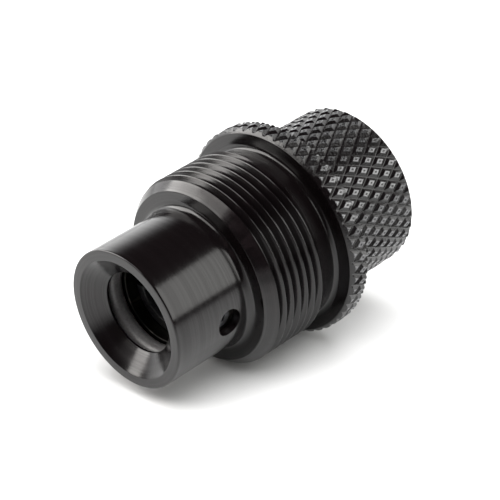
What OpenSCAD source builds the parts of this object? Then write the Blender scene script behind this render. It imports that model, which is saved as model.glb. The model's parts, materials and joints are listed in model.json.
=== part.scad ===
// Laser collimator: a laser barrel in a turned shell that screws into an adapter
// by its M20 x 1 thread, with two button cells under a knurled screw-on rear cap.
// The optical axis is +X, out of the mouth. The origin is on that axis, in the
// front face of the flange. Stations along the axis are x values from there.
// Screw threads are drawn as plain cylinders, except the mounting thread, which is
// drawn as rings of the true profile.

/* [Shell] */
// Outer diameter of the smooth nose
nose_d = 14.6; // [14.4:0.1:15]
// Station of the nose's front rim
nose_front = 19.8; // [19.4:0.1:21]
// Diameter of the countersunk mouth at the rim
mouth_d = 12.5; // [11.5:0.1:13]
// Clear diameter of the mouth behind the countersink
aperture_d = 8.5; // [8:0.1:8.6]
// Depth of the countersink
mouth_depth = 1.75; // [1.4:0.05:1.8]
// Diameter of the bore that runs from the mouth's lip to the rear
bore_d = 12.64; // [12.62:0.01:12.7]
// Diameter of the access hole in the side of the nose
access_d = 2.84; // [2.4:0.02:3.2]
// Turn of the access hole round the axis, from level on the +Y side
access_angle = -8; // [-90:1:90]

/* [Mounting thread and flange] */
// Major diameter of the mounting thread
thread_d = 20; // [19.8:0.1:20.4]
// Pitch of the mounting thread
thread_pitch = 1; // [0.8:0.1:1.2]
// Station of the front face that the thread ends in
thread_front = 10.2; // [9.8:0.1:10.6]
// Width of the relief between the thread and the flange
relief_w = 2.7; // [2.2:0.1:3]
// Diameter of the relief
relief_d = 18.2; // [17.8:0.1:18.4]
// Outer diameter of the flange over its knurl
flange_d = 22.4; // [22:0.1:24]
// Thickness of the flange
flange_t = 2.3; // [2:0.1:2.6]

/* [Rear cap] */
// Outer diameter of the rear cap over its knurl
cap_d = 17.3; // [17.2:0.1:18]
// Length of the rear cap
cap_l = 9.3; // [9.2:0.1:10]
// Gap between the flange and the cap when the laser is off
cap_gap = 0.7; // [0.6:0.05:0.9]
// Major diameter of the cap's thread
cap_thread_d = 15; // [14.9:0.1:15.2]

/* [Laser barrel] */
// Outer diameter of the laser barrel
barrel_d = 12.56; // [12.4:0.02:12.6]
// Diameter of the tapped bore that holds the lens cell
focus_bore_d = 9; // [8.8:0.1:9.2]
// Diameter of the collimating lens
lens_d = 7; // [6.6:0.1:7.2]
// Diameter of the focus lock screw
lock_screw_d = 2; // [1.6:0.1:2.2]

/* [Cells] */
// Diameter of a button cell
cell_d = 11.6; // [11.4:0.1:11.7]
// Height of a button cell
cell_h = 5.4; // [5.2:0.1:5.5]

/* [Hidden] */
$fn = 96;

fit = 0.04;                       // radial gap of a running fit
touch = 0.02;                     // gap between faces that press together

nose_r = nose_d / 2;
bore_r = bore_d / 2;
thread_r = thread_d / 2;
relief_r = relief_d / 2;
flange_r = flange_d / 2;
lip_back = nose_front - mouth_depth - 0.15;
nose_fillet = 1;
seat_fillet = 0.95;
front_chamfer = 1.2;              // along the axis, at the start of the thread
front_face_r = thread_r - 0.95;
thread_depth = 0.6134 * thread_pitch;
crest_w = thread_pitch / 8;
thread_turns = 6;
knurl_edge = 0.4;                 // chamfer at the edges of the knurled rims

spigot_r = cap_thread_d / 2 - fit;
spigot_end = -9.4;                // rear end of the spigot that the cap screws on
cap_front = -flange_t - cap_gap;
cap_rear = cap_front - cap_l;
cap_floor = cap_rear + 1.1;
cap_bore_r = cap_thread_d / 2;
cap_shoulder = spigot_end - 0.5 - touch;
cap_recess_r = 6.35;

seal_section = 1.9;               // nose seal: an O-ring 8.8 x 1.9
seal_r = 4.4 + seal_section / 2;
cap_seal_section = 0.78;
cap_seal_floor = 6.7;             // radius of the floor of the cap seal's groove
cap_seal_x = -4.2;

barrel_r = barrel_d / 2;
barrel_front = lip_back - seal_section - 0.5;
barrel_rear = 2.2;
barrel_floor = 6.6;               // the lens spring stands on this face
diode_seat = 5.6;                 // front face of the diode's flange
cavity_front = 4.4;               // the board lies behind this face
cavity_r = 4.7;
access_x = 13.1;                  // station of the access hole and the lock screw
focus_bore_r = focus_bore_d / 2;
lock_screw_r = lock_screw_d / 2;

cell_x = 11;                      // rear face of the lens cell at mid focus
cell_l = 3.2;
lens_r = lens_d / 2;
lens_x = cell_x + 0.6;
lens_curve = 8;                   // radius of the lens's front surface
washer_t = 0.3;

board_x = 2.5;                    // rear face of the driver board
board_t = 0.8;
board_r = cavity_r - 0.1;
pin_r = 0.225;
pin_circle = 1.27;

stack_front = 0.9;                // front face of the front button cell
stack_rear = stack_front - 2 * cell_h;
nut_front = barrel_rear - touch;
nut_rear = 1.2;
plate_front = cap_floor + 0.27;

// Turns a (radius, station) outline into a solid of revolution about the X axis.
module around_axis() {
    rotate([0, 90, 0]) rotate_extrude() children();
}

// Outline of a ring's section: radii r0 to r1, stations x0 to x1.
module band(r0, r1, x0, x1) {
    translate([r0, x0]) square([r1 - r0, x1 - x0]);
}

module ring(r0, r1, x0, x1) {
    around_axis() band(r0, r1, x0, x1);
}

// An O-ring of the given mean radius and section, centred on station x.
module o_ring(mean_r, section, x) {
    around_axis() translate([mean_r, x]) circle(d = section, $fn = 48);
}

// Outline of the hollow where a shaft of radius r meets a face at station x.
module root_fillet(r, x, size) {
    difference() {
        translate([r - 0.1, x - 0.1]) square(size + 0.1);
        translate([r + size, x + size]) circle(size);
    }
}

// Outline of a knurled rim: a band with both outer edges chamfered.
module rim(r, x0, x1, edge) {
    polygon([[0, x0], [r - edge, x0], [r, x0 + edge], [r, x1 - edge], [r - edge, x1], [0, x1]]);
}

// Outline of one thread groove, centred on station x.
module thread_groove(x) {
    mouth = (thread_pitch - crest_w) / 2;
    root = mouth - thread_depth * tan(30);
    clear = 0.2;
    flare = mouth + clear * tan(30);
    polygon([
        [thread_r + clear, x - flare], [thread_r - thread_depth, x - root],
        [thread_r - thread_depth, x + root], [thread_r + clear, x + flare]
    ]);
}

// Places children, which point along +Z, pointing out from the axis at the access hole.
module at_access_hole() {
    translate([access_x, 0, 0]) rotate([access_angle - 90, 0, 0]) children();
}

// A coil spring about the X axis from station x0 to x1.
module coil(mean_r, wire_r, x0, x1, turns) {
    steps = 20 * turns;
    sides = 8;
    rise = (x1 - x0 - 2 * wire_r) / steps;
    points = [
        for (i = [0:steps]) for (k = [0:sides - 1])
            let (turn = 18 * i, side = 360 * k / sides, r = mean_r + wire_r * cos(side))
            [x0 + wire_r + rise * i + wire_r * sin(side), r * cos(turn), r * sin(turn)]
    ];
    walls = [
        for (i = [0:steps - 1]) for (k = [0:sides - 1])
            let (a = i * sides + k, b = i * sides + (k + 1) % sides)
            [a, b, b + sides, a + sides]
    ];
    first = [for (k = [sides - 1:-1:0]) k];
    last = [for (k = [0:sides - 1]) steps * sides + k];
    polyhedron(points, concat([first, last], walls));
}

module shell_outline() {
    nose_edge = 0.2;
    polygon([
        [0, thread_front - 1], [nose_r, thread_front - 1], [nose_r, nose_front - nose_edge],
        [nose_r - nose_edge, nose_front], [0, nose_front]
    ]);
    root_fillet(nose_r, thread_front, nose_fillet);
    difference() {
        polygon([
            [0, relief_w], [thread_r, relief_w], [thread_r, thread_front - front_chamfer],
            [front_face_r, thread_front], [0, thread_front]
        ]);
        for (i = [0:thread_turns]) thread_groove(relief_w + i * thread_pitch);
    }
    band(0, relief_r, -0.5, relief_w + 0.5);
    root_fillet(relief_r, 0, seat_fillet);
    rim(flange_r, -flange_t, 0, knurl_edge);
    band(0, spigot_r, spigot_end, -flange_t + 0.5);
}

module shell_hollow() {
    band(0, bore_r, spigot_end - 1, lip_back);
    polygon([
        [0, lip_back - 1], [aperture_d / 2, lip_back - 1],
        [aperture_d / 2, nose_front - mouth_depth], [mouth_d / 2, nose_front],
        [mouth_d / 2, nose_front + 1], [0, nose_front + 1]
    ]);
    translate([cap_seal_floor, cap_seal_x - 0.5]) square([2, 1]);
}

module housing() {
    color([0.07, 0.07, 0.075]) difference() {
        around_axis() difference() {
            shell_outline();
            shell_hollow();
        }
        at_access_hole() cylinder(d = access_d, h = nose_r + 1);
    }
}

module nose_seal() {
    color([0.12, 0.12, 0.12]) o_ring(seal_r, seal_section, barrel_front + seal_section / 2);
}

module laser_barrel() {
    color([0.25, 0.2, 0.13]) difference() {
        around_axis() difference() {
            band(0, barrel_r, barrel_rear, barrel_front);
            band(0, focus_bore_r, barrel_floor, barrel_front + 1);
            band(0, 1.95, barrel_rear, barrel_floor + 1);
            band(0, 2.82, barrel_rear, diode_seat);
            band(0, cavity_r, barrel_rear - 1, cavity_front);
        }
        at_access_hole() cylinder(r = lock_screw_r + touch, h = barrel_r + 1);
    }
}

module module_nut() {
    slot_w = 1;
    color([0.2, 0.2, 0.2]) difference() {
        ring(4.5, bore_r - fit, nut_rear, nut_front);
        for (side = [-1, 1])
            translate([nut_rear - 0.1, side * 5.4 - 1, -slot_w / 2]) cube([0.6, 2, slot_w]);
    }
}

module lock_pad() {
    color([0.9, 0.9, 0.85]) at_access_hole()
        translate([0, 0, focus_bore_r]) cylinder(r = lock_screw_r - 0.1, h = 0.2);
}

module lock_screw() {
    screw_l = 1.5;
    socket_depth = 0.8;
    key = 0.9;                    // hex key across flats
    color([0.3, 0.3, 0.32]) at_access_hole() translate([0, 0, focus_bore_r + 0.2])
        difference() {
            cylinder(r = lock_screw_r, h = screw_l);
            translate([0, 0, screw_l - socket_depth])
                cylinder(d = key / cos(30), h = socket_depth + 1, $fn = 6);
        }
}

module lens_cell() {
    slot_w = 0.8;
    color([0.1, 0.1, 0.1]) difference() {
        around_axis() difference() {
            band(0, focus_bore_r - fit, cell_x, cell_x + cell_l);
            band(0, lens_r - 0.5, cell_x - 1, cell_x + cell_l);
            band(0, lens_r + touch, lens_x, cell_x + cell_l + 1);
        }
        translate([cell_x + cell_l - 0.5, -focus_bore_r, -slot_w / 2])
            cube([1, focus_bore_d, slot_w]);
    }
}

module collimating_lens() {
    centre_t = 1.7;
    color([0.6, 0.7, 0.9]) intersection() {
        translate([lens_x, 0, 0]) rotate([0, 90, 0]) cylinder(r = lens_r, h = centre_t);
        translate([lens_x + centre_t - lens_curve, 0, 0]) sphere(lens_curve);
    }
}

module lens_retainer() {
    front = cell_x + cell_l - 0.6;
    color([0.15, 0.15, 0.15]) ring(lens_r - 0.6, lens_r, front - 0.7, front);
}

module spring_washer() {
    color([0.8, 0.7, 0.4]) ring(lens_r - 0.2, focus_bore_r - 0.1, cell_x - washer_t, cell_x);
}

module lens_spring() {
    color([0.75, 0.75, 0.78]) coil(3.9, 0.22, barrel_floor, cell_x - washer_t, 5);
}

module diode_base() {
    color([0.85, 0.75, 0.45]) difference() {
        ring(0, 2.8, cavity_front, diode_seat - touch);
        for (side = [-1, 1])
            translate([cavity_front - 0.5, side * 2.8 - 0.2, -0.2]) cube([2, 0.4, 0.4]);
    }
}

module diode_can() {
    can_front = diode_seat + 2.3;
    color([0.85, 0.85, 0.85]) around_axis() difference() {
        band(0, 1.78, diode_seat, can_front);
        band(0, 1.55, diode_seat - 1, can_front - 0.25);
        band(0, 0.8, can_front - 1, can_front + 1);
    }
}

module diode_window() {
    color([0.7, 0.8, 0.9]) ring(0, 1.5, diode_seat + 1.8, diode_seat + 2.05);
}

module diode_pins() {
    color([0.85, 0.75, 0.45]) for (turn = [0, 120, 240]) rotate([turn, 0, 0])
        translate([board_x - 0.3, 0, pin_circle]) rotate([0, 90, 0])
            cylinder(r = pin_r, h = cavity_front - board_x + 0.3);
}

module driver_board() {
    color([0.1, 0.35, 0.15]) difference() {
        ring(0, board_r, board_x, board_x + board_t);
        for (turn = [0, 120, 240]) rotate([turn, 0, 0])
            translate([board_x - 1, 0, pin_circle]) rotate([0, 90, 0])
                cylinder(r = pin_r + 0.05, h = board_t + 2);
    }
}

module driver_chip() {
    color([0.08, 0.08, 0.08]) translate([board_x - 0.95, -1.45, -3.7]) cube([0.95, 2.9, 1.3]);
}

module board_resistors() {
    color([0.2, 0.2, 0.22]) for (side = [-1, 1])
        translate([board_x - 0.35, side * 3.2 - 0.25, 0.3]) cube([0.35, 0.5, 1]);
}

module board_capacitor() {
    color([0.6, 0.45, 0.3]) translate([board_x - 0.7, -0.8, 2.7]) cube([0.7, 1.6, 0.8]);
}

module board_spring() {
    color([0.9, 0.75, 0.35]) coil(1.85, 0.16, stack_front, board_x, 3);
}

module front_insulator() {
    color([0.95, 0.95, 0.9]) ring(3.9, 5.85, stack_front, nut_rear);
}

module battery_sleeve() {
    color([0.9, 0.88, 0.8]) ring(5.9, bore_r - 0.1, spigot_end + 0.2, nut_rear);
}

// One button cell with its positive face at station front and its lid to the rear.
module button_cell(front) {
    rear = front - cell_h;
    cell_r = cell_d / 2;
    edge = 0.3;
    lid_r = 4.8;
    color([0.8, 0.8, 0.82]) around_axis() polygon([
        [0, rear], [lid_r - edge, rear], [lid_r, rear + edge], [lid_r, rear + 0.9],
        [cell_r - edge, rear + 0.9], [cell_r, rear + 0.9 + edge],
        [cell_r, front - edge], [cell_r - edge, front], [0, front]
    ]);
}

module front_cell() button_cell(stack_front);

module rear_cell() button_cell(stack_front - cell_h);

module rear_cap() {
    groove_x = plate_front + 0.05;
    color([0.07, 0.07, 0.075]) around_axis() difference() {
        rim(cap_d / 2, cap_rear, cap_front, knurl_edge);
        band(0, cap_bore_r, cap_shoulder, cap_front + 1);
        band(0, cap_recess_r, cap_floor, cap_shoulder + 1);
        band(0, cap_recess_r + 0.3, groove_x, groove_x + 0.34);
    }
}

module cap_seal() {
    color([0.12, 0.12, 0.12])
        o_ring(cap_seal_floor + cap_seal_section / 2, cap_seal_section, cap_seal_x);
}

module contact_plate() {
    color([0.85, 0.7, 0.35]) around_axis() {
        band(0, cap_recess_r - 0.15, cap_floor + touch, plate_front);
        band(0, 1.5, cap_floor + touch, plate_front + 0.25);
    }
}

module contact_spring() {
    color([0.8, 0.8, 0.82]) coil(1.9, 0.16, plate_front, stack_rear, 2);
}

module retaining_ring() {
    front = plate_front + 0.37;
    color([0.6, 0.6, 0.62]) difference() {
        ring(5.7, cap_recess_r + 0.25, plate_front + 0.07, front);
        translate([plate_front, 4, -0.8]) cube([1, 4, 1.6]);
    }
}

housing();
nose_seal();
laser_barrel();
module_nut();
lock_pad();
lock_screw();
lens_cell();
collimating_lens();
lens_retainer();
spring_washer();
lens_spring();
diode_base();
diode_can();
diode_window();
diode_pins();
driver_board();
driver_chip();
board_resistors();
board_capacitor();
board_spring();
front_insulator();
battery_sleeve();
front_cell();
rear_cell();
rear_cap();
cap_seal();
contact_plate();
contact_spring();
retaining_ring();
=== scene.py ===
"""Laser collimator: its looks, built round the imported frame.

Shapes are made in millimetres in the row frame (+X is the optical axis, the origin is on it in the flange's front
face) and turned into metres when a piece is finished.
"""
import json
import math

import bmesh
import bpy
from mathutils import Matrix, Vector


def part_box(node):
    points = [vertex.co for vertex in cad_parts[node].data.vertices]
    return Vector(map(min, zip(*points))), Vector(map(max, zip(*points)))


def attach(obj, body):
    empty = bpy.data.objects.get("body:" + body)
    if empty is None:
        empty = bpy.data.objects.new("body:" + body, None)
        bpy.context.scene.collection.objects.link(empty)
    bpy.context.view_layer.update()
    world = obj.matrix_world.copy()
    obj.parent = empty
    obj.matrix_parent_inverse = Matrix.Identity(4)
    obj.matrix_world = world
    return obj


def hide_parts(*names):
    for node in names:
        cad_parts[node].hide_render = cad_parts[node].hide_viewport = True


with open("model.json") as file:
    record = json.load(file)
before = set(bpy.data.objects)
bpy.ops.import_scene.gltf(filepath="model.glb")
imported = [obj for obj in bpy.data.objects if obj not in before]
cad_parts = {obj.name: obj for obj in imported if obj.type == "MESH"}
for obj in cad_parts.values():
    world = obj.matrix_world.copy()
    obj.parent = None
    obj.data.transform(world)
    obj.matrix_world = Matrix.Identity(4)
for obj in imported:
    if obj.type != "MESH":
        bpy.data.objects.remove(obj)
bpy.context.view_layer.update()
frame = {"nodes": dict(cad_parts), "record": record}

MM = 0.001
TURN = 2 * math.pi


def span(node):
    """(first station, last station, outer radius) of a turned CAD node, in millimetres."""
    lo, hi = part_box(node)
    return lo.x / MM, hi.x / MM, max(hi.y, -lo.y) / MM


SHELL_REAR, NOSE_FRONT, FLANGE_R = span("housing")
CAP_REAR, CAP_FRONT, CAP_R = span("rear_cap")
BARREL_REAR, BARREL_FRONT, BARREL_R = span("laser_barrel")
CELL_REAR, CELL_FRONT, CELL_R = span("lens_cell")

# The shapes between those sizes, in millimetres. An _X is a station on the axis and an _R a radius.
NOSE_R = 7.3
THREAD_R = 10.0
THREAD_FRONT = 10.2                     # the front face that the mounting thread ends in
CHAMFER = 1.2                           # along the axis, at the start of the thread
RELIEF_R, RELIEF_W = 8.95, 2.5          # the turned relief between the thread and the flange
FLANGE_T = 2.3
LIP_BACK = 17.9                         # the step that the nose seal lies against
CONE_R, LAND_R = 6.25, 4.25             # wide and narrow end of the mouth's cone
MOUTH_DEPTH = 1.66
BORE_R = 6.32
SPIGOT_R = 7.46                         # the threaded spigot that the cap screws on
GROOVE_FRONT, GROOVE_REAR, GROOVE_R = -3.7, -4.7, 6.7     # the cap seal's groove
CAP_BORE_R, CAP_SHOULDER = 7.5, -9.92
CAP_FLOOR, RECESS_R = CAP_REAR + 1.1, 6.35
RING_X, RING_W, RING_DEPTH = CAP_FLOOR + 0.32, 0.34, 0.3  # the retaining ring's groove in the cap
FOCUS_R = 4.5                           # the bore that the lens cell screws into
ACCESS_X, ACCESS_R = 13.1, 1.42
ACCESS_ANGLE = math.radians(-8)

KNURL_EDGE = 0.4                        # chamfer at the knurls' ends
KNURL_DEPTH = 0.24
FLANGE_KNURL = {"around": 50, "pitch": 2.5, "turn": 0.0314}
CAP_KNURL = {"around": 39, "pitch": 2.34, "turn": 0.0}

# Thread grooves: depth, half the width at the mouth and at the root, and pitch.
MOUNTING_THREAD = (0.6134, 0.4375, 0.0834, 1.0)
SPIGOT_THREAD = (0.5, 0.42, 0.13, 1.0)
CAP_THREAD = (0.4, 0.38, 0.14, 1.0)
BARREL_THREAD = (0.22, 0.2, 0.06, 0.5)
CELL_THREAD = (0.2, 0.2, 0.06, 0.5)


# ---------------------------------------------------------------- shapes

FINE_BELOW = 0.4                        # a rounding smaller than this gets fewer steps
FINE_STEPS, COARSE_STEPS = 8, 12
MAX_SHARE = 0.48                        # of an edge that one corner's rounding may take


def soften(outline):
    """Rounds the corners of a closed (station, radius, rounding) outline and returns (station, radius) points."""
    points, count = [], len(outline)
    for i, (x, r, size) in enumerate(outline):
        here = Vector((x, r))
        to_last = Vector(outline[i - 1][:2]) - here
        to_next = Vector(outline[(i + 1) % count][:2]) - here
        if size == 0:
            points.append((x, r))
            continue
        back = here + to_last.normalized() * min(size, MAX_SHARE * to_last.length)
        ahead = here + to_next.normalized() * min(size, MAX_SHARE * to_next.length)
        steps = FINE_STEPS if size < FINE_BELOW else COARSE_STEPS
        for k in range(steps + 1):
            t = k / steps
            point = back * (1 - t) ** 2 + here * 2 * t * (1 - t) + ahead * t ** 2
            points.append((point.x, point.y))
    return points


def lathe(points, sides=240):
    """Turns a closed loop of (station, radius) points round the X axis."""
    bm = bmesh.new()
    rings = []
    for x, r in points:
        if r < 1e-6:
            rings.append([bm.verts.new((x, 0, 0))] * sides)
        else:
            rings.append([
                bm.verts.new((x, r * math.cos(TURN * k / sides), r * math.sin(TURN * k / sides)))
                for k in range(sides)
            ])
    for a, b in zip(rings, rings[1:] + rings[:1]):
        for k in range(sides):
            n = (k + 1) % sides
            corners = [a[k], a[n], b[n], b[k]]
            corners = [v for m, v in enumerate(corners) if v is not corners[m - 1]]
            if len(corners) > 2:
                bm.faces.new(corners)
    bmesh.ops.recalc_face_normals(bm, faces=bm.faces)
    return bm


def helix(radius, groove, x0, turns, outward=False, steps=120, fade=0.0, shoulder=0.03):
    """The solid that cuts one thread groove, inward from a shaft or outward from a bore, starting at station x0.

    Steps are per turn. The groove lifts out of the metal over its last fade turns.
    """
    depth, half_mouth, half_root, pitch = groove
    clear = 0.06                        # how far the cutter stands out of the metal
    sign = 1 if outward else -1
    half = [
        (half_mouth + shoulder + clear, radius - sign * clear), (half_mouth, radius + sign * shoulder),
        (half_root, radius + sign * depth),
    ]
    section = [(-x, r) for x, r in half] + [(0, radius + sign * (depth + 0.02))] + half[::-1]
    bm = bmesh.new()
    rows = []
    for i in range(int(steps * turns) + 1):
        a = TURN * i / steps
        x = x0 + pitch * i / steps
        lift = depth * max(0.0, 1 - (turns - i / steps) / fade) if fade else 0.0
        rows.append([
            bm.verts.new((x + dx, (r - sign * lift) * math.cos(a), (r - sign * lift) * math.sin(a)))
            for dx, r in section
        ])
    count = len(section)
    for a, b in zip(rows, rows[1:]):
        for k in range(count):
            n = (k + 1) % count
            bm.faces.new([a[k], a[n], b[n], b[k]])
    bm.faces.new(rows[0])
    bm.faces.new(rows[-1][::-1])
    bmesh.ops.recalc_face_normals(bm, faces=bm.faces)
    return bm


# The rings of one diamond above its groove: share of the diamond's half width, and depth below the crest.
FLAT_RINGS = [(0.47, 0.03), (0.42, 0), (0.17, 0), (0.1, 0.04)]
GROOVE_SHARE = 0.94


def diamonds(crest, depth, x0, x1, around, pitch, turn):
    """A round bar with a diamond knurl: flat-topped diamonds between V grooves, each with a small dent in its top."""
    rings = [(GROOVE_SHARE, depth)] + FLAT_RINGS
    delta = TURN / around
    first = x0 - pitch
    rows = int(math.ceil((x1 + pitch - first) / (pitch / 2)))
    bm = bmesh.new()

    def vert(x, angle, r):
        return bm.verts.new((x, r * math.cos(angle), r * math.sin(angle)))

    cross = [
        [vert(first + j * pitch / 2, (i + 0.5 * (j % 2)) * delta + turn, crest - depth) for i in range(around)]
        for j in range(rows + 1)
    ]
    for j in range(rows - 1):
        odd = j % 2
        for i in range(around):
            angle = (i + 0.5 * odd) * delta + turn
            x = first + (j + 1) * pitch / 2
            left = (i - 1 + odd) % around
            outer = [cross[j][i], cross[j + 1][(left + 1) % around], cross[j + 2][i], cross[j + 1][left]]
            for share, drop in rings:
                r = crest - drop
                inner = [
                    vert(x - share * pitch / 2, angle, r), vert(x, angle + share * delta / 2, r),
                    vert(x + share * pitch / 2, angle, r), vert(x, angle - share * delta / 2, r),
                ]
                for k in range(4):
                    n = (k + 1) % 4
                    bm.faces.new([outer[k], outer[n], inner[n], inner[k]])
                outer = inner
            bm.faces.new(outer)
    past = 4                            # the bar's cone-shaped ends reach this far past the knurl
    low, high = bm.verts.new((first - past, 0, 0)), bm.verts.new((first + rows * pitch / 2 + past, 0, 0))
    shift = (rows - 2) % 2
    for i in range(around):
        n = (i + 1) % around
        bm.faces.new([low, cross[0][i], cross[1][i]])
        bm.faces.new([low, cross[1][i], cross[0][n]])
        side = cross[rows - 1][(i + shift) % around]
        bm.faces.new([high, cross[rows][i], side])
        bm.faces.new([high, side, cross[rows][n]])
    bmesh.ops.recalc_face_normals(bm, faces=bm.faces)
    return bm


def block(lo, hi):
    """A box between two corners, for cutting slots."""
    bm = bmesh.new()
    bmesh.ops.create_cube(bm, size=1)
    lo, hi = Vector(lo), Vector(hi)
    for v in bm.verts:
        v.co = (lo + hi) / 2 + Vector([c * s for c, s in zip(v.co, hi - lo)])
    return bm


def to_object(bm, name="tool"):
    mesh = bpy.data.meshes.new(name)
    bm.to_mesh(mesh)
    bm.free()
    obj = bpy.data.objects.new(name, mesh)
    bpy.context.scene.collection.objects.link(obj)
    return obj


def combine(base, tool, operation="DIFFERENCE"):
    """Cuts, joins or intersects base with tool, both bmeshes, and returns the result as a bmesh."""
    a, b = to_object(base), to_object(tool)
    step = a.modifiers.new("step", "BOOLEAN")
    step.operation, step.object, step.solver = operation, b, "MANIFOLD"
    bpy.context.view_layer.update()
    result = bmesh.new()
    result.from_mesh(a.evaluated_get(bpy.context.evaluated_depsgraph_get()).data)
    for o in (a, b):
        mesh = o.data
        bpy.data.objects.remove(o)
        bpy.data.meshes.remove(mesh)
    return result


def knurl(base, crest, x0, x1, around, pitch, turn):
    """Cuts a diamond knurl into base between two stations."""
    start, end, under, over = x0 - 0.3, x1 + 0.3, crest - 0.8, crest + 1
    ring = lathe([(start, under), (start, over), (end, over), (end, under)])
    return combine(base, combine(ring, diamonds(crest, KNURL_DEPTH, x0, x1, around, pitch, turn)))


def radial(bm, angle, x):
    """Turns a shape made along +X to point out from the axis at that angle and station."""
    out = Vector((0, math.cos(angle), math.sin(angle)))
    side = Vector((1, 0, 0))
    rotation = Matrix((out, side, out.cross(side))).transposed().to_4x4()
    bm.transform(Matrix.Translation((x, 0, 0)) @ rotation)
    return bm


SHARP = math.radians(13)                # edges that turn by more than this aren't shaded smooth


def piece(bm, name, material, body, node):
    """Finishes a shape as a piece that stands for a CAD node."""
    bmesh.ops.scale(bm, vec=(MM, MM, MM), verts=bm.verts)
    for f in bm.faces:
        f.smooth = True
    for e in bm.edges:
        if len(e.link_faces) == 2 and e.calc_face_angle(0) > SHARP:
            e.smooth = False
    obj = to_object(bm, name)
    obj.data.materials.append(material)
    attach(obj, body)
    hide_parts(node)
    return obj


# ---------------------------------------------------------------- materials

class Finish:
    """One procedural material: a Principled shader and a few helpers for the nodes behind it."""

    def __init__(self, name, colour, rough, **sockets):
        self.material = bpy.data.materials.new(name)
        self.material.use_nodes = True
        self.tree = self.material.node_tree
        self.shader = self.tree.nodes["Principled BSDF"]
        self.coords = self.node("ShaderNodeTexCoord").outputs["Object"]
        self.shader.inputs["Base Color"].default_value = (*colour, 1)
        self.shader.inputs["Roughness"].default_value = rough
        for socket, value in sockets.items():
            self.shader.inputs[socket.replace("_", " ")].default_value = value

    def node(self, kind, **inputs):
        made = self.tree.nodes.new(kind)
        for socket, value in inputs.items():
            self.feed(made, socket.replace("_", " "), value)
        return made

    def feed(self, node, socket, value):
        if isinstance(value, bpy.types.NodeSocket):
            self.tree.links.new(value, node.inputs[socket])
        else:
            node.inputs[socket].default_value = value

    def ring_coords(self):
        """(station, radius, 0), so that a texture of it runs round the axis as turning marks do."""
        parts = self.node("ShaderNodeSeparateXYZ", Vector=self.coords)
        flat = self.node("ShaderNodeCombineXYZ", Y=parts.outputs["Y"], Z=parts.outputs["Z"])
        length = self.node("ShaderNodeVectorMath")
        length.operation = "LENGTH"
        self.tree.links.new(flat.outputs[0], length.inputs[0])
        return self.node("ShaderNodeCombineXYZ", X=parts.outputs["X"], Y=length.outputs["Value"]).outputs[0]

    def noise(self, scale, detail=2.0, coords=None):
        made = self.node("ShaderNodeTexNoise", Scale=scale, Detail=detail, Vector=coords or self.coords)
        return made.outputs["Fac"]

    def ramp(self, fac, low, high, start=0.3, end=0.7):
        made = self.node("ShaderNodeMapRange", Value=fac)
        for socket, value in zip(("From Min", "From Max", "To Min", "To Max"), (start, end, low, high)):
            made.inputs[socket].default_value = value
        return made.outputs["Result"]

    def maths(self, operation, a, b):
        made = self.node("ShaderNodeMath")
        made.operation = operation
        self.feed(made, 0, a)
        self.feed(made, 1, b)
        return made.outputs[0]

    def times(self, a, b):
        return self.maths("MULTIPLY", a, b)

    def tint(self, fac, low, high, under=None):
        """Base colour between two colours by fac, or between an earlier mix and the second colour."""
        mix = self.node("ShaderNodeMix")
        mix.data_type = "RGBA"
        self.tree.links.new(fac, mix.inputs["Factor"])
        mix.inputs[6].default_value, mix.inputs[7].default_value = (*low, 1), (*high, 1)
        if under:
            self.feed(mix, 6, under)
        self.feed(self.shader, "Base Color", mix.outputs[2])
        return mix.outputs[2]

    def bump(self, height, distance):
        made = self.node("ShaderNodeBump", Height=height, Distance=distance, Strength=1.0)
        self.feed(self.shader, "Normal", made.outputs["Normal"])
        return self

    def roughen(self, fac, low, high):
        self.feed(self.shader, "Roughness", self.ramp(fac, low, high))

    def rubbed_edges(self, patches):
        """1 on sharp edges, broken up by a noise so that the wear is patchy."""
        edges = self.ramp(self.node("ShaderNodeNewGeometry").outputs["Pointiness"], 0, 1, 0.52, 0.6)
        return self.times(edges, self.ramp(patches, 0.3, 1, 0.35, 0.6))


def shade(colour, share):
    """A colour made lighter or darker."""
    return tuple(min(1.0, c * share) for c in colour)


WORN = 2.5                              # how much lighter a rubbed edge is
RUBBED_FLAT = (0.17, 0.17, 0.174)       # bare metal on the knurls' flats
BEHIND_FLANGE = (-2.95 * MM, -2.85 * MM)
ZONE_DROP = (0.34, 0.28)                # below a knurl's crest, where its skin starts
FLAT_DROP = (0.028, 0.012)              # below a knurl's crest, where its rubbed flats start
MARK_CONTRAST = 0.2                     # share of the gloss that the deepest turning marks lose


def turned_finish(name, colour, rough, mark=6e-7, worn=None, **sockets):
    """Turned metal: fine marks round the axis that make the polish a little uneven, edges a little worn in patches.
    """
    f = Finish(name, colour, rough, **sockets)
    rings = f.noise(9000, 3, f.ring_coords())
    patches = f.noise(350, 3)
    f.roughen(rings, rough * 0.85, rough * 1.2)
    f.tint(f.rubbed_edges(patches), colour, worn or shade(colour, WORN))
    return f.bump(rings, mark).material


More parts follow.
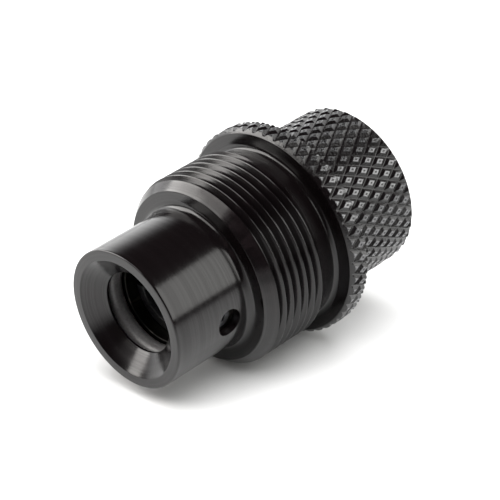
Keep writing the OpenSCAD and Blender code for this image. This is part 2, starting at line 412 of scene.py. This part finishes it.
def anodised_finish(name, colour, rough, **sockets):
    """Black anodising on turned and knurled aluminium: turning marks on the plain faces, a coarser skin on the
    knurls' flanks, and rubbed bright flats on top of their diamonds."""
    f = Finish(name, colour, rough, **sockets)
    coords = f.ring_coords()
    parts = f.node("ShaderNodeSeparateXYZ", Vector=coords)
    station, radius = parts.outputs["X"], parts.outputs["Y"]
    behind = f.ramp(station, 1, 0, *BEHIND_FLANGE)

    def beyond(start, end):
        """1 near the crest of either knurl, 0 below it."""
        flange = f.ramp(radius, 0, 1, (FLANGE_R - start) * MM, (FLANGE_R - end) * MM)
        knob = f.times(behind, f.ramp(radius, 0, 1, (CAP_R - start) * MM, (CAP_R - end) * MM))
        return f.maths("MAXIMUM", flange, knob)

    zone, flats = beyond(*ZONE_DROP), beyond(*FLAT_DROP)
    plain_zone = f.maths("SUBTRACT", 1.0, zone)
    rings = f.noise(6500, 3, coords)
    bands = f.noise(1500, 2, coords)
    patches = f.noise(900, 3)
    grain = f.noise(5000, 4)
    plain = f.tint(f.times(f.rubbed_edges(patches), plain_zone), colour, shade(colour, WORN))
    flat_share = f.times(flats, f.ramp(grain, 0.55, 1, 0.35, 0.6))
    f.tint(flat_share, colour, RUBBED_FLAT, plain)
    marks = f.times(f.ramp(rings, 0, MARK_CONTRAST, 0.36, 0.62), plain_zone)
    f.feed(f.shader, "Metallic", f.maths("MAXIMUM", flat_share, marks))
    f.feed(f.shader, "Roughness", f.maths("ADD", f.ramp(bands, rough * 0.8, rough * 1.25), f.times(zone, 0.05)))
    return f.bump(f.maths("ADD", rings, f.times(f.times(zone, grain), 5.0)), 4.5e-6).material


def grainy_finish(name, colour, rough, scale, grain=0, spread=0.25, **sockets):
    """A finish with a fine uneven colour and polish, for plastics, rubber and plated pieces."""
    f = Finish(name, colour, rough, **sockets)
    fac = f.noise(scale, 4)
    f.tint(f.ramp(fac, 0, 1), shade(colour, 1 - spread), shade(colour, 1 + spread))
    f.roughen(f.noise(scale * 0.4, 3), rough * 0.85, min(1.0, rough * 1.15))
    return (f.bump(fac, grain) if grain else f).material


BLACK = (0.0026, 0.0018, 0.002)
FINISHES = {
    "black_anodised": anodised_finish("black_anodised", BLACK, 0.17, IOR=1.53),
    "nut_black": turned_finish("nut_black", (0.012, 0.012, 0.013), 0.32, IOR=1.6),
    "seal_rubber": grainy_finish("seal_rubber", (0.075, 0.072, 0.072), 0.42, 5000, 1.2e-5, IOR=1.6),
    "dark_brass": turned_finish("dark_brass", (0.024, 0.023, 0.021), 0.4, worn=(0.08, 0.074, 0.064), Metallic=1.0),
    "lens_glass": grainy_finish("lens_glass", (0.86, 0.93, 1.0), 0.02, 500, Transmission_Weight=1.0, IOR=1.52),
    "gold_plate": grainy_finish("gold_plate", (0.83, 0.6, 0.28), 0.28, 3000, 1e-6, Metallic=1.0),
    "can_steel": grainy_finish("can_steel", (0.62, 0.61, 0.59), 0.3, 3000, 1e-6, Metallic=1.0),
    "spring_steel": grainy_finish("spring_steel", (0.5, 0.5, 0.52), 0.3, 5000, 1e-6, Metallic=1.0),
    "screw_steel": grainy_finish("screw_steel", (0.2, 0.2, 0.21), 0.35, 5000, 1e-6, Metallic=1.0),
    "nylon": grainy_finish("nylon", (0.72, 0.7, 0.62), 0.5, 2500, 2e-6, 0.08),
    "board_laminate": grainy_finish("board_laminate", (0.02, 0.13, 0.05), 0.35, 3500, 3e-6),
    "chip_plastic": grainy_finish("chip_plastic", (0.016, 0.016, 0.018), 0.55, 6000, 3e-6),
    "capacitor_ceramic": grainy_finish("capacitor_ceramic", (0.42, 0.29, 0.17), 0.45, 4000, 1e-6),
    "sleeve_plastic": grainy_finish("sleeve_plastic", (0.7, 0.66, 0.55), 0.4, 1500, 2e-6, 0.08),
    "cell_steel": turned_finish("cell_steel", (0.66, 0.65, 0.63), 0.3, Metallic=1.0),
}
SLOT_OF = {row["node"]: row["material_slot"] for row in frame["record"]["subparts"]}

for node_name, obj in frame["nodes"].items():
    obj.data.materials.clear()
    obj.data.materials.append(FINISHES[SLOT_OF[node_name]])


# ---------------------------------------------------------------- shell

shell = lathe(soften([
    (NOSE_FRONT, CONE_R, 0.05), (NOSE_FRONT, NOSE_R, 0.2),
    (THREAD_FRONT, NOSE_R, 1.0), (THREAD_FRONT, THREAD_R - 0.95, 0.08),
    (THREAD_FRONT - CHAMFER, THREAD_R, 0.05), (RELIEF_W, THREAD_R, 0.03),
    (RELIEF_W, RELIEF_R + 0.43, 0.08), (0, RELIEF_R, 0.95),
    (0, FLANGE_R - KNURL_EDGE, 0.04), (-KNURL_EDGE, FLANGE_R, 0.04),
    (0.12 - FLANGE_T, FLANGE_R, 0.03), (-FLANGE_T, FLANGE_R - 0.12, 0.03),
    (-FLANGE_T, SPIGOT_R, 0.25),
    (GROOVE_FRONT, SPIGOT_R, 0.05), (GROOVE_FRONT, GROOVE_R, 0.1),
    (GROOVE_REAR, GROOVE_R, 0.1), (GROOVE_REAR, SPIGOT_R, 0.05),
    (SHELL_REAR + 0.35, SPIGOT_R, 0.05), (SHELL_REAR, SPIGOT_R - 0.35, 0.05), (SHELL_REAR, BORE_R, 0.08),
    (LIP_BACK, BORE_R, 0.05), (LIP_BACK, LAND_R, 0.03), (NOSE_FRONT - MOUTH_DEPTH, LAND_R, 0.03),
]))
shell = combine(shell, helix(THREAD_R, MOUNTING_THREAD, 1.617, 7.75, fade=0.45, shoulder=0.045))
shell = combine(shell, helix(SPIGOT_R, SPIGOT_THREAD, SHELL_REAR - 0.9, 5.6))
shell = knurl(shell, FLANGE_R, -FLANGE_T - 0.52, 0, **FLANGE_KNURL)
access_hole = lathe([(0, 0), (0, ACCESS_R), (9, ACCESS_R), (9, 0)], 72)
shell = combine(shell, radial(access_hole, ACCESS_ANGLE, ACCESS_X))
piece(shell, "shell_turned", FINISHES["black_anodised"], "shell", "housing")

# ---------------------------------------------------------------- rear cap

cap = lathe(soften([
    (CAP_FRONT, CAP_BORE_R, 0.1), (CAP_FRONT, CAP_R - KNURL_EDGE, 0.05), (CAP_FRONT - KNURL_EDGE, CAP_R, 0.05),
    (CAP_REAR + KNURL_EDGE, CAP_R, 0.05), (CAP_REAR, CAP_R - KNURL_EDGE, 0.06), (CAP_REAR, 0, 0),
    (CAP_FLOOR, 0, 0), (CAP_FLOOR, RECESS_R, 0.1),
    (RING_X, RECESS_R, 0), (RING_X, RECESS_R + RING_DEPTH, 0),
    (RING_X + RING_W, RECESS_R + RING_DEPTH, 0), (RING_X + RING_W, RECESS_R, 0),
    (CAP_SHOULDER, RECESS_R, 0.08), (CAP_SHOULDER, CAP_BORE_R, 0.05),
]))
cap = combine(cap, helix(CAP_BORE_R, CAP_THREAD, -9.3, 4, outward=True))
cap = knurl(cap, CAP_R, CAP_REAR, CAP_FRONT, **CAP_KNURL)
piece(cap, "cap_knurled", FINISHES["black_anodised"], "cap", "rear_cap")

# ---------------------------------------------------------------- seal, barrel and lens cell behind the mouth

SEAL_STEPS = 40                         # round the O-ring's section
FLASH = 0.03                            # height of the mould's parting line, inside and outside
seal_rear, seal_front, seal_outer = span("nose_seal")
section = (seal_front - seal_rear) / 2
seal_points = []
for k in range(SEAL_STEPS):
    a = TURN * k / SEAL_STEPS
    flash = FLASH if k % (SEAL_STEPS // 2) == 0 else 0
    seal_points.append(((seal_rear + seal_front) / 2 + section * math.sin(a),
                        seal_outer - section + (section - FLASH + flash) * math.cos(a)))
piece(lathe(seal_points), "nose_o_ring", FINISHES["seal_rubber"], "shell", "nose_seal")

barrel = lathe(soften([
    (BARREL_FRONT, FOCUS_R, 0.14), (BARREL_FRONT, BARREL_R, 0.12), (BARREL_REAR, BARREL_R, 0.1),
    (BARREL_REAR, 4.7, 0.05), (4.4, 4.7, 0.03), (4.4, 2.82, 0.05), (5.6, 2.82, 0.02),
    (5.6, 1.95, 0.03), (6.6, 1.95, 0.03), (6.6, FOCUS_R, 0.05),
]))
barrel = combine(barrel, helix(FOCUS_R, BARREL_THREAD, 7.0, 14.4, outward=True, steps=90))
lock_hole = lathe([(3, 0), (3, 1.02), (8, 1.02), (8, 0)], 48)
barrel = combine(barrel, radial(lock_hole, ACCESS_ANGLE, ACCESS_X))
piece(barrel, "barrel_turned", FINISHES["dark_brass"], "shell", "laser_barrel")

cell = lathe(soften([
    (CELL_FRONT, 3.52, 0.08), (CELL_FRONT, CELL_R, 0.12), (CELL_REAR, CELL_R, 0.1),
    (CELL_REAR, 3.0, 0.05), (CELL_REAR + 0.6, 3.0, 0.03), (CELL_REAR + 0.6, 3.52, 0.02),
]))
cell = combine(cell, helix(CELL_R, CELL_THREAD, CELL_REAR - 0.4, 7.6, steps=90))
cell = combine(cell, block((CELL_FRONT - 0.5, -6, -0.4), (CELL_FRONT + 1, 6, 0.4)))
piece(cell, "lens_cell_turned", FINISHES["nut_black"], "focus_cell", "lens_cell")


# ---------------------------------------------------------------- table, lights and camera

# The part lies nose-down on the thread's front crest and the flange's rim, so the table is tilted in the row frame.
REST_FRONT = (THREAD_FRONT - CHAMFER, THREAD_R)
REST_REAR = (-KNURL_EDGE, FLANGE_R)
TILT = math.atan2(REST_REAR[1] - REST_FRONT[1], REST_FRONT[0] - REST_REAR[0])
UP = Vector((-math.sin(TILT), 0, math.cos(TILT)))
TO_ROW = Matrix.Rotation(-TILT, 3, "Y")


def toward(azimuth, elevation):
    """A direction in the row frame. Azimuth is counted from -Y towards +X, elevation from the table."""
    a, e = math.radians(azimuth), math.radians(elevation)
    return TO_ROW @ Vector((math.sin(a) * math.cos(e), -math.cos(a) * math.cos(e), math.sin(e)))


def look(obj, back, place):
    """Puts obj at place, looking along -back with the table's up as its up."""
    right = UP.cross(back).normalized()
    obj.matrix_world = Matrix.Translation(place) @ Matrix((right, back.cross(right), back)).transposed().to_4x4()


FLOOR_HALF = 3.0
FLOOR_GAP = 2e-6                        # keeps the floor's plane just clear of the part
# The floor is pale paper near the part and turns to a painted shade further in front of it: a darker colour that
# stands in for the room's shade there.
PAPER, PAINTED_SHADE = (0.56, 0.56, 0.56), (0.17, 0.17, 0.17)
PAINTED_SHADE_START, PAINTED_SHADE_END = 0.018, 0.075   # metres in front of the part, where the paper fades into the painted shade
corners = [(FLOOR_HALF * x, FLOOR_HALF * y, 0) for x, y in ((-1, -1), (1, -1), (1, 1), (-1, 1))]
floor = bpy.data.objects.new("floor", bpy.data.meshes.new("floor"))
floor.data.from_pydata(corners, [], [(0, 1, 2, 3)])
bpy.context.scene.collection.objects.link(floor)
floor.matrix_world = (Matrix.Translation(Vector((REST_REAR[0], 0, -REST_REAR[1])) * MM - UP * FLOOR_GAP)
                      @ TO_ROW.to_4x4())
paper_and_painted_shade = Finish("paper_and_painted_shade", PAPER, 0.9)
front = paper_and_painted_shade.node("ShaderNodeVectorMath", Vector=paper_and_painted_shade.coords)
front.operation = "DOT_PRODUCT"
front.inputs[1].default_value = (0.716, 0.698, 0)
# Painted shade: the paper's colour darkens across that band in front of the part.
paper_and_painted_shade.tint(paper_and_painted_shade.ramp(front.outputs["Value"], 1, 0, PAINTED_SHADE_START, PAINTED_SHADE_END), PAINTED_SHADE, PAPER)
paper_and_painted_shade.shader.inputs["Specular IOR Level"].default_value = 0.0
floor.data.materials.append(paper_and_painted_shade.material)

CENTRE = Vector((3.1, 0.3, -0.4)) * MM  # what the lights face
KEY_WHITE, SIDE_WHITE = (1, 0.98, 0.95), (1, 1, 0.97)


def softbox(name, azimuth, elevation, distance, width, height, radiance, colour=(1, 1, 1), mirrored=True):
    """An area light facing the part. Its angular width and height are in degrees as the part sees them.

    A light that isn't mirrored lights the scene but leaves no reflection in glossy surfaces.
    """
    light = bpy.data.lights.new(name, "AREA")
    light.shape = "RECTANGLE"
    light.size = 2 * distance * math.tan(math.radians(width / 2))
    light.size_y = 2 * distance * math.tan(math.radians(height / 2))
    light.energy = radiance * math.pi * light.size * light.size_y
    light.color = colour
    obj = bpy.data.objects.new(name, light)
    bpy.context.scene.collection.objects.link(obj)
    obj.visible_glossy = mirrored
    back = toward(azimuth, elevation)
    look(obj, back, CENTRE + back * distance)


softbox("key_left", 33.5, 28.5, 0.5, 43, 33, 6.6, KEY_WHITE)
softbox("key_wing", 71, 39, 0.5, 32, 25, 3.2, KEY_WHITE)
softbox("overhead", 134, 77, 0.6, 62, 62, 7.1, mirrored=False)
softbox("side_right", 223, 29, 0.5, 64, 46, 2.8, SIDE_WHITE)

world = bpy.data.worlds.new("studio")
bpy.context.scene.world = world
world.use_nodes = True
nodes, links = world.node_tree.nodes, world.node_tree.links
coords = nodes.new("ShaderNodeTexCoord").outputs["Generated"]


def world_dot(vector):
    made = nodes.new("ShaderNodeVectorMath")
    made.operation = "DOT_PRODUCT"
    links.new(coords, made.inputs[0])
    made.inputs[1].default_value = vector
    return made.outputs["Value"]


def world_fade(value, start, end):
    made = nodes.new("ShaderNodeMapRange")
    made.interpolation_type = "SMOOTHSTEP"
    links.new(value, made.inputs["Value"])
    made.inputs["From Min"].default_value, made.inputs["From Max"].default_value = start, end
    return made.outputs["Result"]


def world_times(a, b):
    made = nodes.new("ShaderNodeMath")
    made.operation = "MULTIPLY"
    links.new(a, made.inputs[0])
    if isinstance(b, float):
        made.inputs[1].default_value = b
    else:
        links.new(b, made.inputs[1])
    return made.outputs[0]


# A white backdrop behind and to the left of the part, which fades to a dark room above and to the sides.
BACKDROP_TOP, BACKDROP_FULL = math.sin(math.radians(47)), math.sin(math.radians(14))
BACKDROP_STRENGTH, ROOM_STRENGTH = 2.1, 0.02
backdrop = world_times(world_fade(world_dot(UP), BACKDROP_TOP, BACKDROP_FULL),
                       world_fade(world_dot(toward(-38, 0)), 0.25, 0.6))
strength = nodes.new("ShaderNodeMath")
strength.operation = "ADD"
links.new(world_times(backdrop, BACKDROP_STRENGTH), strength.inputs[0])
strength.inputs[1].default_value = ROOM_STRENGTH
links.new(strength.outputs[0], nodes["Background"].inputs["Strength"])
nodes["Background"].inputs["Color"].default_value = (1, 1, 1, 1)

VIEW_DISTANCE = 0.19723
view_back = toward(134.3, 25.68)
view_centre = Vector((3.097, 0.294, -0.361)) * MM
camera = bpy.data.objects.new("camera", bpy.data.cameras.new("camera"))
bpy.context.scene.collection.objects.link(camera)
camera.data.sensor_width = 36
camera.data.lens = 143.16
camera.data.clip_start, camera.data.clip_end = 0.01, 20
look(camera, view_back, view_centre + view_back * VIEW_DISTANCE)
bpy.context.scene.camera = camera
bpy.context.scene.view_settings.view_transform = "Standard"
